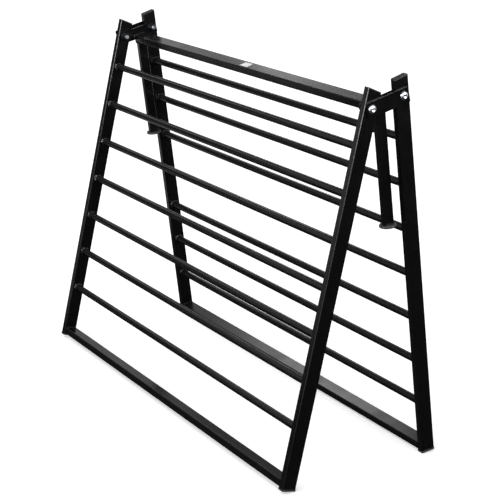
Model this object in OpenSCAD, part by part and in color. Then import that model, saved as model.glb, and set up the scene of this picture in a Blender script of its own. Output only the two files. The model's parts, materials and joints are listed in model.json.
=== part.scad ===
// Folding free-standing rung rack.
// Two ladder-like frames of rectangular tube and round rungs are hinged to a head. At each end the
// head has an outer and an inner plate with the rails between them, turning on sleeves round the
// pivot bolts. A top bar joins the two ends and carries two short drop legs with rubber feet.
// Units are millimetres and degrees. The rack is drawn open, standing on its four rail feet.
// Origin: middle of the footprint, on the floor. +X is to the right, +Z is up, and the front frame,
// the one that leans more, is on the -Y side.

/* [Overall] */
// Width over the outer faces of the rails
rack_w = 1270; // [900:10:1600]
// Length of a rail along its middle, with its top cap and its foot
rail_len = 978; // [880:5:1100]
// Lean of the front frame from vertical
lean_front = 14.3; // [10:0.1:17]
// Lean of the back frame and of the drop legs from vertical
lean_back = 6.2; // [3:0.1:9]

/* [Tube stock] */
// Wide side of the rectangular tube of the rails and bottom bars
tube_d = 38; // [30:1:40]
// Narrow side of the rectangular tube of the rails and bottom bars
tube_t = 19; // [14:1:22]
// Wall of the rectangular tubes
tube_wall = 1.5; // [1:0.1:2.5]
// Outer corner radius of the rectangular tubes
tube_r = 2.5; // [2:0.1:3.5]

/* [Rungs] */
// Outer diameter of a rung
rung_dia = 19; // [12:0.5:22]
// Wall of a rung
rung_wall = 1.5; // [1:0.1:2.5]
// Distance between neighbouring rungs of the front frame
front_pitch = 114.5; // [90:0.5:117]
// Distance between neighbouring rungs of the back frame
back_pitch = 116; // [90:0.5:117]
// First rung of the front frame below the pivots
front_first = 92; // [86:1:108]
// First rung of the back frame below the pivots
back_first = 104; // [86:1:108]

/* [Head] */
// Distance between the front and back pivots
pivot_gap = 92; // [84:1:110]
// Rail end above its pivot, along the middle of the rail
rail_rise = 45; // [43:0.5:46]
// Cut of the rail tops from square, the outer side left longer
top_bevel = 10.25; // [8:0.25:12]
// Plate beyond each pivot
plate_end = 15.5; // [15:0.5:20]
// Plates below the line of the pivots
plate_below = 20; // [17:0.5:24]
// Outer plate above the line of the pivots
outer_above = 18.5; // [17:0.5:24]
// Inner plate above the line of the pivots
inner_above = 14; // [12:0.5:18]
// Thickness of the outer plates
outer_plate_t = 3; // [2:0.5:6]
// Thickness of the inner plates
inner_plate_t = 4; // [3:0.5:6]
// Corner radius of the plates
plate_r = 4; // [2:0.5:8]
// Wide side of the top bar tube
bar_d = 35.5; // [30:0.5:40]
// Narrow side of the top bar tube
bar_t = 20.5; // [14:0.5:22]
// Top of the top bar below the line of the pivots
bar_drop = 6.5; // [3:0.5:9]

/* [Pivots] */
// Bolt diameter
bolt_dia = 12; // [10:1:12]
// Outer diameter of the sleeve that a rail turns on
sleeve_dia = 18; // [16:0.5:20]
// Radial running clearance between a sleeve and the bore of a rail
running_fit = 0.05; // [0.02:0.01:0.08]
// Radial clearance of a bolt in its sleeve, plates and washers
bolt_fit = 0.15; // [0.1:0.05:0.3]
// Thickness of a thrust washer between a rail and a plate
thrust_t = 1; // [0.8:0.1:2]
// Diameter of a thrust washer
thrust_dia = 28; // [24:0.5:32]
// Side play between a rail and its thrust washer
side_play = 0.2; // [0.1:0.05:0.4]
// Diameter of the domed bolt head
bolt_head_dia = 21; // [20:0.5:26]
// Height of the domed bolt head
bolt_head_h = 6.5; // [5:0.5:8]
// Width across flats of the hexagon socket in the bolt head
socket_af = 8; // [6:0.5:9]
// Depth of the hexagon socket
socket_depth = 3.5; // [2:0.5:4]
// Width across flats of a nut
nut_af = 19; // [18:0.5:22]
// Height of the hexagon of a nut
nut_h = 8; // [6:0.5:10]
// Height of the round collar of a nut, which holds its locking ring
collar_h = 4; // [3:0.5:5]
// Depth of the locking ring in the collar
ring_h = 3; // [1.5:0.5:3]
// Outer diameter of the locking ring
ring_dia = 15; // [14.5:0.5:15.5]
// Diameter of the washer under a nut
nut_washer_dia = 24; // [23:0.5:30]
// Thickness of the washer under a nut
nut_washer_t = 2; // [1.5:0.5:3]
// Bolt end beyond its nut
bolt_end = 1; // [1:0.5:4]

/* [Drop legs] */
// Wide side of the drop leg tube
leg_d = 27; // [22:1:30]
// Narrow side of the drop leg tube
leg_t = 17; // [14:1:20]
// Outer face of a drop leg inside the outer face of the rails
leg_inset = 27.2; // [26:0.2:34]
// Length from the line of the pivots to the underside of the foot
leg_reach = 314; // [240:1:340]
// Diameter of the rubber foot
pad_dia = 43; // [38:0.5:44]
// Thickness of the rubber foot
pad_t = 6; // [5:0.5:10]

/* [Caps and feet] */
// Thickness of the plastic cap on a rail top
cap_t = 3; // [2:0.5:5]
// Thickness of the plastic foot on a rail end
foot_t = 5; // [2:0.5:8]
// Foot beyond the faces of its rail
foot_lip = 0.8; // [0.4:0.1:1]
// Depth of the part of a cap or foot that is pushed into its tube
plug_depth = 16; // [10:1:18]
// Clearance of that part in its tube
plug_fit = 0.15; // [0.05:0.05:0.3]
// Gap between a foot and the bottom bar above it
foot_bar_gap = 1.3; // [0.1:0.1:2]

/* [Hidden] */
$fn = 48;

left = -1;
right = 1;
rung_count = 7;                                // rungs in each frame
cut = 1;                                       // how far a cutting solid runs past what it cuts

// Widths along X, from the middle of the rack
half_w = rack_w / 2;
rail_in = half_w - tube_t;                     // inner face of a rail
plate_gap = thrust_t + side_play;              // between a rail and each of its plates
outer_plate_x = half_w + plate_gap;            // inner face of an outer plate
bolt_seat_x = outer_plate_x + outer_plate_t;   // seat of a bolt head
inner_plate_x = rail_in - plate_gap;           // outer face of an inner plate
bar_half = inner_plate_x - inner_plate_t;      // end of the top bar and seat of a nut washer
leg_x = half_w - leg_inset - leg_t / 2;        // middle of a drop leg

// Lengths along a rail, from its pivot
below_pivot = rail_len - rail_rise;
foot_d = tube_d + 2 * foot_lip;
foot_w = tube_t + 2 * foot_lip;
bottom_bar_z = -below_pivot + foot_t + foot_bar_gap + tube_t / 2;

// Places of the pivots: both frames stand on the inner edge of their feet
pivot_front_z = below_pivot * cos(lean_front) + foot_d / 2 * sin(lean_front);
pivot_back_z = below_pivot * cos(lean_back) + foot_d / 2 * sin(lean_back);
head_tilt = asin((pivot_back_z - pivot_front_z) / pivot_gap);
head_half = pivot_gap / 2 * cos(head_tilt);
front_reach = head_half + below_pivot * sin(lean_front) + foot_d / 2 * cos(lean_front);
back_reach = head_half + below_pivot * sin(lean_back) + foot_d / 2 * cos(lean_back);
head_y = (front_reach - back_reach) / 2;
head_z = (pivot_front_z + pivot_back_z) / 2;
leg_cant = lean_back - head_tilt;              // drop leg from square to the plates

sleeve_len = tube_t + 2 * plate_gap;
sleeve_bore = bolt_dia + 2 * bolt_fit;
rail_bore = sleeve_dia + 2 * running_fit;
thread_bore = bolt_dia + 2 * running_fit;
nut_seat_x = bar_half - nut_washer_t;
bolt_grip = bolt_seat_x - nut_seat_x + nut_h + collar_h + bolt_end;
dome_r = (pow(bolt_head_dia / 2, 2) + pow(bolt_head_h, 2)) / (2 * bolt_head_h);
pad_bevel = pad_t / 4;

coat = "#26282b";
zinc = "#c9ccd0";
plastic = "#15161a";
rubber = "#1d1e20";
nylon = "#1a1a1b";

// ---- Frames of reference ----

// Local frame of the front frame: pivot at the origin, rails down -Z, outer side towards +Y
module in_front() {
    translate([0, head_y - head_half, pivot_front_z]) mirror([0, 1, 0]) rotate([lean_front, 0, 0]) children();
}

// Local frame of the back frame, laid out as the front one
module in_back() {
    translate([0, head_y + head_half, pivot_back_z]) rotate([lean_back, 0, 0]) children();
}

// Local frame of the head: middle of the pivots at the origin, +Y towards the back pivot
module in_head() {
    translate([0, head_y, head_z]) rotate([head_tilt, 0, 0]) children();
}

// All four pivots, with +X pointing out of the rack at each
module at_pivots() {
    for (side = [left, right], y = [-1, 1] * pivot_gap / 2)
        in_head() translate([0, y, 0]) rotate([0, 0, side == left ? 180 : 0]) children();
}

// ---- Sections and stock ----

// Rectangle with round corners, centred
module round_rect(w, d, r) {
    square([w - 2 * r, d], center = true);
    square([w, d - 2 * r], center = true);
    for (x = [-1, 1] * (w / 2 - r), y = [-1, 1] * (d / 2 - r)) translate([x, y]) circle(r);
}

// The hollow of a rectangular tube, with a gap left all round
module hollow_section(w, d, gap) {
    round_rect(w - 2 * (tube_wall + gap), d - 2 * (tube_wall + gap), max(tube_r - tube_wall, 0.5));
}

// Section of a rectangular tube
module tube_section(w, d) {
    difference() {
        round_rect(w, d, tube_r);
        hollow_section(w, d, 0);
    }
}

// Part of a cap or foot that is pushed into a rectangular tube
module plug(w, d, length) {
    linear_extrude(length) hollow_section(w, d, plug_fit);
}

// Rod along +X
module rod_x(dia, length) {
    rotate([0, 90, 0]) cylinder(d = dia, h = length);
}

// Ring round the X axis, from x along +X
module ring_x(x, dia, bore, length) {
    translate([x, 0, 0]) difference() {
        rod_x(dia, length);
        translate([-cut, 0, 0]) rod_x(bore, length + 2 * cut);
    }
}

// Everything below the bevelled plane that crosses the middle of a rail at height z
module below_bevel(z) {
    translate([0, 0, z]) rotate([top_bevel, 0, 0])
        translate([-tube_t, -rail_len, -2 * rail_len]) cube([2 * tube_t, 2 * rail_len, 2 * rail_len]);
}

// ---- Rails, caps and feet, in the local frame of a rung frame ----

// Middle line of the rail on one side
module at_rail(side) {
    translate([side * (half_w - tube_t / 2), 0, 0]) children();
}

module rail(side) {
    color(coat) difference() {
        at_rail(side) intersection() {
            translate([0, 0, foot_t - below_pivot]) linear_extrude(rail_len + tube_d)
                tube_section(tube_t, tube_d);
            below_bevel(rail_rise - cap_t);
        }
        at_rail(side) translate([-tube_t / 2 - cut, 0, 0]) rod_x(rail_bore, tube_t + 2 * cut);
    }
}

// Bevelled cap on a rail top, flush with the faces of the rail
module rail_cap(side) {
    color(plastic) at_rail(side) intersection() {
        below_bevel(rail_rise);
        union() {
            difference() {
                linear_extrude(rail_rise + tube_d) round_rect(tube_t, tube_d, tube_r);
                below_bevel(rail_rise - cap_t);
            }
            translate([0, 0, rail_rise - cap_t - plug_depth]) plug(tube_t, tube_d, rail_rise);
        }
    }
}

// Foot on a rail end, a little larger than the rail
module rail_foot(side) {
    color(plastic) at_rail(side) translate([0, 0, -below_pivot]) {
        linear_extrude(foot_t) round_rect(foot_w, foot_d, tube_r);
        translate([0, 0, foot_t]) plug(tube_t, tube_d, plug_depth);
    }
}

// ---- Cross members, in the local frame of a rung frame ----

// Rung number i, counted down from the top one, which is first below the pivots
module rung(first, pitch, i) {
    color(coat) translate([0, 0, -first - (i - 1) * pitch])
        ring_x(-rail_in, rung_dia, rung_dia - 2 * rung_wall, 2 * rail_in);
}

// Tube lying on its wide side w along X, from -half to half
module flat_bar(half, w, t) {
    rotate([90, 0, 90]) translate([0, 0, -half]) linear_extrude(2 * half) tube_section(w, t);
}

module bottom_bar() {
    color(coat) translate([0, 0, bottom_bar_z]) flat_bar(rail_in, tube_d, tube_t);
}

// ---- Head, in its own local frame ----

// Plate with two pivot holes, from its face at x; above is its height over the line of the pivots
module head_plate(side, x, thickness, above) {
    color(coat) translate([side > 0 ? x : -x - thickness, 0, 0]) rotate([90, 0, 90]) difference() {
        translate([0, (above - plate_below) / 2, 0]) linear_extrude(thickness)
            round_rect(pivot_gap + 2 * plate_end, above + plate_below, plate_r);
        for (y = [-1, 1] * pivot_gap / 2) translate([y, 0, -cut])
            cylinder(d = sleeve_bore, h = thickness + 2 * cut);
    }
}

module outer_plate(side) {
    head_plate(side, outer_plate_x, outer_plate_t, outer_above);
}

module inner_plate(side) {
    head_plate(side, bar_half, inner_plate_t, inner_above);
}

module top_bar() {
    color(coat) translate([0, 0, -bar_drop - bar_t / 2]) flat_bar(bar_half, bar_d, bar_t);
}

// Frame of a drop leg: its middle line down -Z from the line of the pivots
module in_leg(side) {
    translate([side * leg_x, 0, 0]) rotate([leg_cant, 0, 0]) children();
}

// Leg tube, cut to fit flat under the top bar
module drop_leg(side) {
    color(coat) difference() {
        in_leg(side) translate([0, 0, pad_t - leg_reach]) linear_extrude(leg_reach - pad_t)
            tube_section(leg_t, leg_d);
        translate([side * leg_x - leg_t, -bar_d, -bar_drop - bar_t])
            cube([2 * leg_t, 2 * bar_d, 2 * (bar_drop + bar_t)]);
    }
}

// Rubber foot: a disc with bevelled rims and a plug that is pushed into the leg
module leg_foot(side) {
    color(rubber) in_leg(side) translate([0, 0, -leg_reach]) {
        rotate_extrude() polygon([[0, 0], [pad_dia / 2 - pad_bevel, 0], [pad_dia / 2, pad_bevel],
            [pad_dia / 2, pad_t - pad_bevel], [pad_dia / 2 - pad_bevel, pad_t], [0, pad_t]]);
        translate([0, 0, pad_t]) plug(leg_t, leg_d, plug_depth);
    }
}

// ---- Pivot hardware, the same at all four pivots ----

// Sleeves that the rails turn on, clamped between the plates
module pivot_sleeves() {
    color(zinc) at_pivots() ring_x(inner_plate_x, sleeve_dia, sleeve_bore, sleeve_len);
}

// Thrust washers between the plates and both faces of a rail
module thrust_washers() {
    color(nylon) at_pivots() for (x = [inner_plate_x, outer_plate_x - thrust_t])
        ring_x(x, thrust_dia, rail_bore, thrust_t);
}

// Plain shank and a domed head with a hexagon socket
module pivot_bolts() {
    color(zinc) at_pivots() {
        translate([bolt_seat_x - bolt_grip, 0, 0]) rod_x(bolt_dia, bolt_grip);
        translate([bolt_seat_x, 0, 0]) rotate([0, 90, 0]) difference() {
            intersection() {
                cylinder(d = bolt_head_dia, h = bolt_head_h);
                translate([0, 0, bolt_head_h - dome_r]) sphere(dome_r);
            }
            translate([0, 0, bolt_head_h - socket_depth])
                cylinder(d = socket_af / cos(30), h = socket_depth + cut, $fn = 6);
        }
    }
}

module nut_washers() {
    color(zinc) at_pivots() ring_x(nut_seat_x, nut_washer_dia, sleeve_bore, nut_washer_t);
}

// Hexagon nuts with a round collar that is recessed for the locking ring
module lock_nuts() {
    color(zinc) at_pivots() translate([nut_seat_x, 0, 0]) rotate([0, -90, 0]) difference() {
        union() {
            cylinder(d = nut_af / cos(30), h = nut_h, $fn = 6);
            cylinder(d = nut_af, h = nut_h + collar_h);
        }
        translate([0, 0, -cut]) cylinder(d = thread_bore, h = nut_h + collar_h + 2 * cut);
        translate([0, 0, nut_h + collar_h - ring_h]) cylinder(d = ring_dia, h = ring_h + cut);
    }
}

module locking_rings() {
    color(nylon) at_pivots() ring_x(nut_seat_x - nut_h - collar_h, ring_dia, thread_bore, ring_h);
}

// ---- Nodes ----

in_head() outer_plate(left);  // outer_plate_left
in_head() outer_plate(right);  // outer_plate_right
in_head() inner_plate(left);  // inner_plate_left
in_head() inner_plate(right);  // inner_plate_right
in_head() top_bar();
in_head() drop_leg(left);  // drop_leg_left
in_head() drop_leg(right);  // drop_leg_right
in_head() leg_foot(left);  // leg_foot_left
in_head() leg_foot(right);  // leg_foot_right
pivot_sleeves();
thrust_washers();
pivot_bolts();
nut_washers();
lock_nuts();
locking_rings();

in_front() rail(left);  // front_rail_left
in_front() rail(right);  // front_rail_right
in_front() bottom_bar();  // front_bottom_bar
in_front() rail_cap(left);  // front_cap_left
in_front() rail_cap(right);  // front_cap_right
in_front() rail_foot(left);  // front_foot_left
in_front() rail_foot(right);  // front_foot_right

in_back() rail(left);  // back_rail_left
in_back() rail(right);  // back_rail_right
in_back() bottom_bar();  // back_bottom_bar
in_back() rail_cap(left);  // back_cap_left
in_back() rail_cap(right);  // back_cap_right
in_back() rail_foot(left);  // back_foot_left
in_back() rail_foot(right);  // back_foot_right

for (i = [1:rung_count]) {
    in_front() rung(front_first, front_pitch, i);
    in_back() rung(back_first, back_pitch, i);
}
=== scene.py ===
"""Looks of a folding free-standing rack of black steel tube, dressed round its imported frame."""

import json
import logging
import math
from dataclasses import dataclass, field
from enum import Enum
from typing import ClassVar

import bmesh
import bpy
import numpy as np
from bpy.types import Node, NodeTree
from mathutils import Matrix, Vector
from numpy.typing import NDArray


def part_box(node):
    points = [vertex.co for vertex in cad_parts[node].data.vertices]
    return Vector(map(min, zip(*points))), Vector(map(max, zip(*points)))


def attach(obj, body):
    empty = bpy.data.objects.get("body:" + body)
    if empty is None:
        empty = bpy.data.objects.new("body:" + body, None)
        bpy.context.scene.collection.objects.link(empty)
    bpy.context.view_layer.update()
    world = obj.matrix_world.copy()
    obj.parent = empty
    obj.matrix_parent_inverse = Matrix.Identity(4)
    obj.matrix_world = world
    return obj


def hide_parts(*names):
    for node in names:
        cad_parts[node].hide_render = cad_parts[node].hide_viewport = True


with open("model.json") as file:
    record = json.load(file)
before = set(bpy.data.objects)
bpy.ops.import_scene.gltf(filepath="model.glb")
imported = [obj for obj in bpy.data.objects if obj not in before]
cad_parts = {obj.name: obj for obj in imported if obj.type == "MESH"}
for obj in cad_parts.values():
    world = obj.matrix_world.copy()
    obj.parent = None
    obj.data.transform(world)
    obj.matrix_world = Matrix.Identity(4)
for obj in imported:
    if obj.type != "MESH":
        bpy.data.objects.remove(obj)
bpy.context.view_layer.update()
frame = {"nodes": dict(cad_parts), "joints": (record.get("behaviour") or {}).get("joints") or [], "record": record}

Array = NDArray[np.float64]
Faces = NDArray[np.int64]
Colour = tuple[float, float, float, float]
Socket = bpy.types.NodeSocket

MM = 0.001
TAU = 2 * math.pi
X = np.array([1.0, 0.0, 0.0])
WHITE: Colour = (1.0, 1.0, 1.0, 1.0)

log = logging.getLogger("rack")


class Side(Enum):
    """The two ends of the rack, by the sign of X."""

    LEFT = -1
    RIGHT = 1

    @property
    def label(self) -> str:
        """The word that ends a node's name on this side."""
        return self.name.lower()


class Leaf(Enum):
    """The two hinged frames of the rack, by the sign of Y on their outer side."""

    FRONT = -1
    BACK = 1

    @property
    def label(self) -> str:
        """The word that starts the names of this frame's nodes."""
        return self.name.lower()

    @property
    def pivot(self) -> Array:
        """The place of this frame's hinge, in metres."""
        return np.array(next(j["pos_m"] for j in frame["joints"] if j["name"] == f"{self.label}_hinge"))


def linked(name: str, data: bpy.types.ID) -> bpy.types.Object:
    """Makes an object of a mesh, lamp or camera and puts it in the scene.

    Args:
        name: The object's name.
        data: What it shows.

    Returns:
        The new object.
    """
    obj = bpy.data.objects.new(name, data)
    bpy.context.scene.collection.objects.link(obj)
    return obj


# ---------------------------------------------------------------------------
# Materials
# ---------------------------------------------------------------------------


def linear(hex_colour: str) -> Colour:
    """Turns an sRGB hex colour into linear light.

    Args:
        hex_colour: Six hex digits after a hash.

    Returns:
        Red, green, blue and an alpha of 1.
    """
    srgb = np.frombuffer(bytes.fromhex(hex_colour.lstrip("#")), np.uint8) / 255
    light = np.where(srgb <= 0.04045, srgb / 12.92, ((srgb + 0.055) / 1.055) ** 2.4)
    return (float(light[0]), float(light[1]), float(light[2]), 1.0)


def per_metre(size_mm: float) -> float:
    """Scale of a noise whose lumps are size_mm apart."""
    return 1 / (size_mm * MM)


def add_node(
    tree: NodeTree, kind: str, links: dict[str | int, Socket] | None = None, **settings: object
) -> Node:
    """Adds a shader node with its settings and the links into it.

    Args:
        tree: The node tree that gets the node.
        kind: The node's type, such as ShaderNodeTexNoise.
        links: Input socket, by name or number, to the output socket that feeds it.
        **settings: Node properties, and input sockets by their identifier with _ for a space.

    Returns:
        The new node.
    """
    node = tree.nodes.new(kind)
    sockets = {socket.identifier.replace(" ", "_"): socket for socket in node.inputs}
    for name, value in settings.items():
        if hasattr(node, name):
            setattr(node, name, value)
        else:
            sockets[name].default_value = value
    for name, source in (links or {}).items():
        tree.links.new(source, node.inputs[name])
    return node


def cleared(owner: bpy.types.Material | bpy.types.World) -> NodeTree:
    """Turns on the nodes of a material or world and empties its tree.

    Args:
        owner: The material or world.

    Returns:
        Its empty node tree.
    """
    owner.use_nodes = True
    owner.node_tree.nodes.clear()
    return owner.node_tree


@dataclass(frozen=True)
class Surface:
    """The shader of one material while its patterns are added.

    Every pattern is a noise on place, the socket of the object coordinates in metres.
    """

    tree: NodeTree
    shader: Node
    place: Socket

    def relief(self, size_mm: float, depth_mm: float, **grain: float) -> None:
        """Raises and sinks the surface.

        Args:
            size_mm: Distance between the lumps.
            depth_mm: Height of the lumps.
            **grain: Further settings of the noise.
        """
        lumps = add_node(
            self.tree, "ShaderNodeTexNoise", {"Vector": self.place}, Scale=per_metre(size_mm), **grain
        )
        bump = add_node(
            self.tree, "ShaderNodeBump", {"Height": lumps.outputs[0]}, Distance=depth_mm * MM
        )
        self.tree.links.new(bump.outputs["Normal"], self.shader.inputs["Normal"])

    def uneven_gloss(self, size_mm: float, least: float, most: float, **grain: float) -> None:
        """Lets the roughness differ from place to place.

        Args:
            size_mm: Distance between the patches.
            least: Roughness of the glossiest patches.
            most: Roughness of the dullest.
            **grain: Further settings of the noise.
        """
        patches = add_node(
            self.tree, "ShaderNodeTexNoise", {"Vector": self.place}, Scale=per_metre(size_mm), **grain
        )
        gloss = add_node(
            self.tree,
            "ShaderNodeMapRange",
            {"Value": patches.outputs[0]},
            From_Min=0.3,
            From_Max=0.7,
            To_Min=least,
            To_Max=most,
        )
        self.tree.links.new(gloss.outputs["Result"], self.shader.inputs["Roughness"])

    def clouded(
        self,
        size_mm: float,
        colour: str,
        other: str,
        limits: tuple[float, float] = (0.0, 1.0),
        share: float = 1.0,
        **grain: float,
    ) -> None:
        """Mixes a second colour into the first in clouds.

        Args:
            size_mm: Distance between the clouds.
            colour: The surface's own colour.
            other: The colour of the clouds.
            limits: Values of the noise at which a cloud begins and is thickest.
            share: Share of the second colour where a cloud is thickest.
            **grain: Further settings of the noise.
        """
        clouds = add_node(
            self.tree, "ShaderNodeTexNoise", {"Vector": self.place}, Scale=per_metre(size_mm), **grain
        )
        low, high = limits
        amount = add_node(
            self.tree,
            "ShaderNodeMapRange",
            {"Value": clouds.outputs[0]},
            From_Min=low,
            From_Max=high,
            To_Max=share,
        )
        mix = add_node(
            self.tree,
            "ShaderNodeMix",
            {"Factor": amount.outputs["Result"]},
            data_type="RGBA",
            A_Color=linear(colour),
            B_Color=linear(other),
        )
        self.tree.links.new(mix.outputs[2], self.shader.inputs["Base Color"])


@dataclass(frozen=True)
class Finish:
    """A finish: one material of the real object, and the record's slot that it fills.

    The fields here are those of the shader itself. A subclass adds the pattern that its making
    leaves behind.
    """

    title: ClassVar[str] = "Finish"
    slot: ClassVar[str] = ""
    colour: str = "#808080"
    roughness: float = 0.5
    metallic: float = 0.0

    def material(self) -> bpy.types.Material:
        """Makes the material, with its shader linked to the output.

        Returns:
            The new material.
        """
        material = bpy.data.materials.new(self.title)
        tree = cleared(material)
        shader = add_node(
            tree,
            "ShaderNodeBsdfPrincipled",
            Base_Color=linear(self.colour),
            Roughness=self.roughness,
            Metallic=self.metallic,
        )
        add_node(tree, "ShaderNodeOutputMaterial", {"Surface": shader.outputs["BSDF"]})
        place = add_node(tree, "ShaderNodeTexCoord").outputs["Object"]
        self.detail(Surface(tree, shader, place))
        return material

    def detail(self, surface: Surface) -> None:
        """Adds this finish's own patterns. A plain finish has none."""


@dataclass(frozen=True)
class PowderCoat(Finish):
    """Black polyester powder coat, sprayed and stoved on steel tube.

    It melts to an even semi-gloss film with a faint orange peel. The eye sees deep black faces, and
    soft grey ones where the film mirrors something pale at a low angle.
    """

    title: ClassVar[str] = "Powder coat, semi-gloss black"
    slot: ClassVar[str] = "coat"
    colour: str = "#09090b"
    roughness: float = 0.22
    ior: float = 1.42
    # Real peel is 1 to 2 mm across: it is drawn at 3 mm so that it shows at arm's length
    peel_mm: float = 3.0
    peel_depth_mm: float = 0.01
    patch_mm: float = 70.0
    dust_mm: float = 14.0
    dust: str = "#2c2a28"

    def detail(self, surface: Surface) -> None:
        """Adds orange peel, uneven gloss, and a trace of dust that has caught in places.

        Args:
            surface: The coat's surface.
        """
        surface.shader.inputs["IOR"].default_value = self.ior
        surface.relief(self.peel_mm, self.peel_depth_mm, Detail=2.0, Roughness=0.45)
        surface.uneven_gloss(self.patch_mm, self.roughness - 0.03, self.roughness + 0.05, Detail=3.0)
        surface.clouded(self.dust_mm, self.colour, self.dust, (0.5, 0.8), 0.1, Detail=8.0, Roughness=0.7)


@dataclass(frozen=True)
class ZincPlate(Finish):
    """Bright zinc plate, barrel-plated on cold-formed steel.

    Tumbling leaves it clean and silvery, with small soft dents and a satin gloss that differs from
    place to place.
    """

    title: ClassVar[str] = "Zinc plate, bright"
    slot: ClassVar[str] = "zinc"
    colour: str = "#d4d7db"
    dull: str = "#adb1b7"
    roughness: float = 0.3
    metallic: float = 1.0
    dent_mm: float = 1.6
    dent_depth_mm: float = 0.06
    patch_mm: float = 6.0

    def detail(self, surface: Surface) -> None:
        """Adds tumbling dents, and clouds that differ in gloss and colour.

        Args:
            surface: The plate's surface.
        """
        surface.relief(self.dent_mm, self.dent_depth_mm, Detail=3.0)
        surface.uneven_gloss(self.patch_mm, self.roughness - 0.06, self.roughness + 0.1, Detail=4.0)
        surface.clouded(self.patch_mm, self.colour, self.dull, Detail=4.0)


@dataclass(frozen=True)
class BlackZinc(ZincPlate):
    """Zinc plate turned black by a chromate bath: a dark metal that still glints on its edges."""

    title: ClassVar[str] = "Zinc plate, black chromated"
    colour: str = "#3c3e42"
    dull: str = "#2a2b2e"
    roughness: float = 0.36


@dataclass(frozen=True)
class MouldedPolyethylene(Finish):
    """Black polyethylene, injection moulded in a spark-eroded tool.

    The tool's fine pitting gives a dull satin that is a little greyer than the coat beside it.
    """

    title: ClassVar[str] = "Polyethylene, moulded black"
    slot: ClassVar[str] = "plastic"
    colour: str = "#101113"
    roughness: float = 0.45
    # Real pits are about 0.1 mm across: they are drawn at 0.6 mm so that they show close up
    pit_mm: float = 0.6
    pit_depth_mm: float = 0.02
    rub_mm: float = 6.0
    worn: str = "#28292c"

    def detail(self, surface: Surface) -> None:
        """Adds spark-eroded grain, and pale rubs where the moulding has been handled."""
        surface.relief(self.pit_mm, self.pit_depth_mm, Detail=2.0)
        surface.clouded(self.rub_mm, self.colour, self.worn, (0.5, 0.8), 0.5, Detail=5.0)


@dataclass(frozen=True)
class FootRubber(Finish):
    """Dark styrene rubber, compression moulded.

    It scatters what light it gets and holds dust, so it looks grey beside the gloss of the coat.
    """

    title: ClassVar[str] = "Rubber, moulded dark"
    slot: ClassVar[str] = "rubber"
    colour: str = "#232322"
    roughness: float = 0.6
    pebble_mm: float = 0.9
    pebble_depth_mm: float = 0.04
    dust_mm: float = 4.0
    dust: str = "#6b6862"

    def detail(self, surface: Surface) -> None:
        """Adds a soft pebbled relief with dust in it."""
        surface.relief(self.pebble_mm, self.pebble_depth_mm, Detail=3.0)
        surface.clouded(self.dust_mm, self.colour, self.dust, (0.4, 0.75), 0.35, Detail=8.0, Roughness=0.7)


@dataclass(frozen=True)
class BlackNylon(Finish):
    """Black nylon, injection moulded.

    A little light enters it, so it looks waxy beside metal, with a soft gloss.
    """

    title: ClassVar[str] = "Nylon, black"
    slot: ClassVar[str] = "nylon"
    colour: str = "#1a1a1b"
    roughness: float = 0.38
    depth_mm: float = 1.5
    depth_share: float = 0.15
    flow_mm: float = 5.0
    grey: str = "#2b2b2c"

    def detail(self, surface: Surface) -> None:
        """Adds waxy depth, and a faint grey flow through the moulding.

        Args:
            surface: The nylon's surface.
        """
        surface.shader.inputs["Subsurface Weight"].default_value = self.depth_share
        surface.shader.inputs["Subsurface Scale"].default_value = self.depth_mm * MM
        surface.clouded(self.flow_mm, self.colour, self.grey, Detail=3.0)


@dataclass(frozen=True)
class CoatedPaper(Finish):
    """White paper, clay coated and calendered, with a gum back.

    It is bright and smooth, with a trace of fibre.
    """

    title: ClassVar[str] = "Paper, coated white"
    colour: str = "#f0f1f2"
    roughness: float = 0.45
    fibre_mm: float = 0.8
    fibre_depth_mm: float = 0.01
    cloud_mm: float = 7.0
    shade: str = "#dde0e4"

    def detail(self, surface: Surface) -> None:
        """Adds fibre relief and a slightly uneven white."""
        surface.relief(self.fibre_mm, self.fibre_depth_mm, Detail=4.0)
        surface.clouded(self.cloud_mm, self.colour, self.shade, Detail=2.0)


COAT = PowderCoat()
ZINC = ZincPlate()
DARK_ZINC = BlackZinc()
PLASTIC = MouldedPolyethylene()
RUBBER = FootRubber()
NYLON = BlackNylon()
PAPER = CoatedPaper()

# ---------------------------------------------------------------------------
# Surfaces
# ---------------------------------------------------------------------------

# Faces that meet at less than this angle are shaded as one surface
SMOOTH_DEG = 35.0
WELD_SMOOTH_DEG = 60.0
# The mean of the size of a cosine
MEAN_SCALLOP = 0.64
# Points of a CAD node that lie closer than this are one corner, and a step this long is a sharp one
HAIR_MM = 0.01


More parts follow.
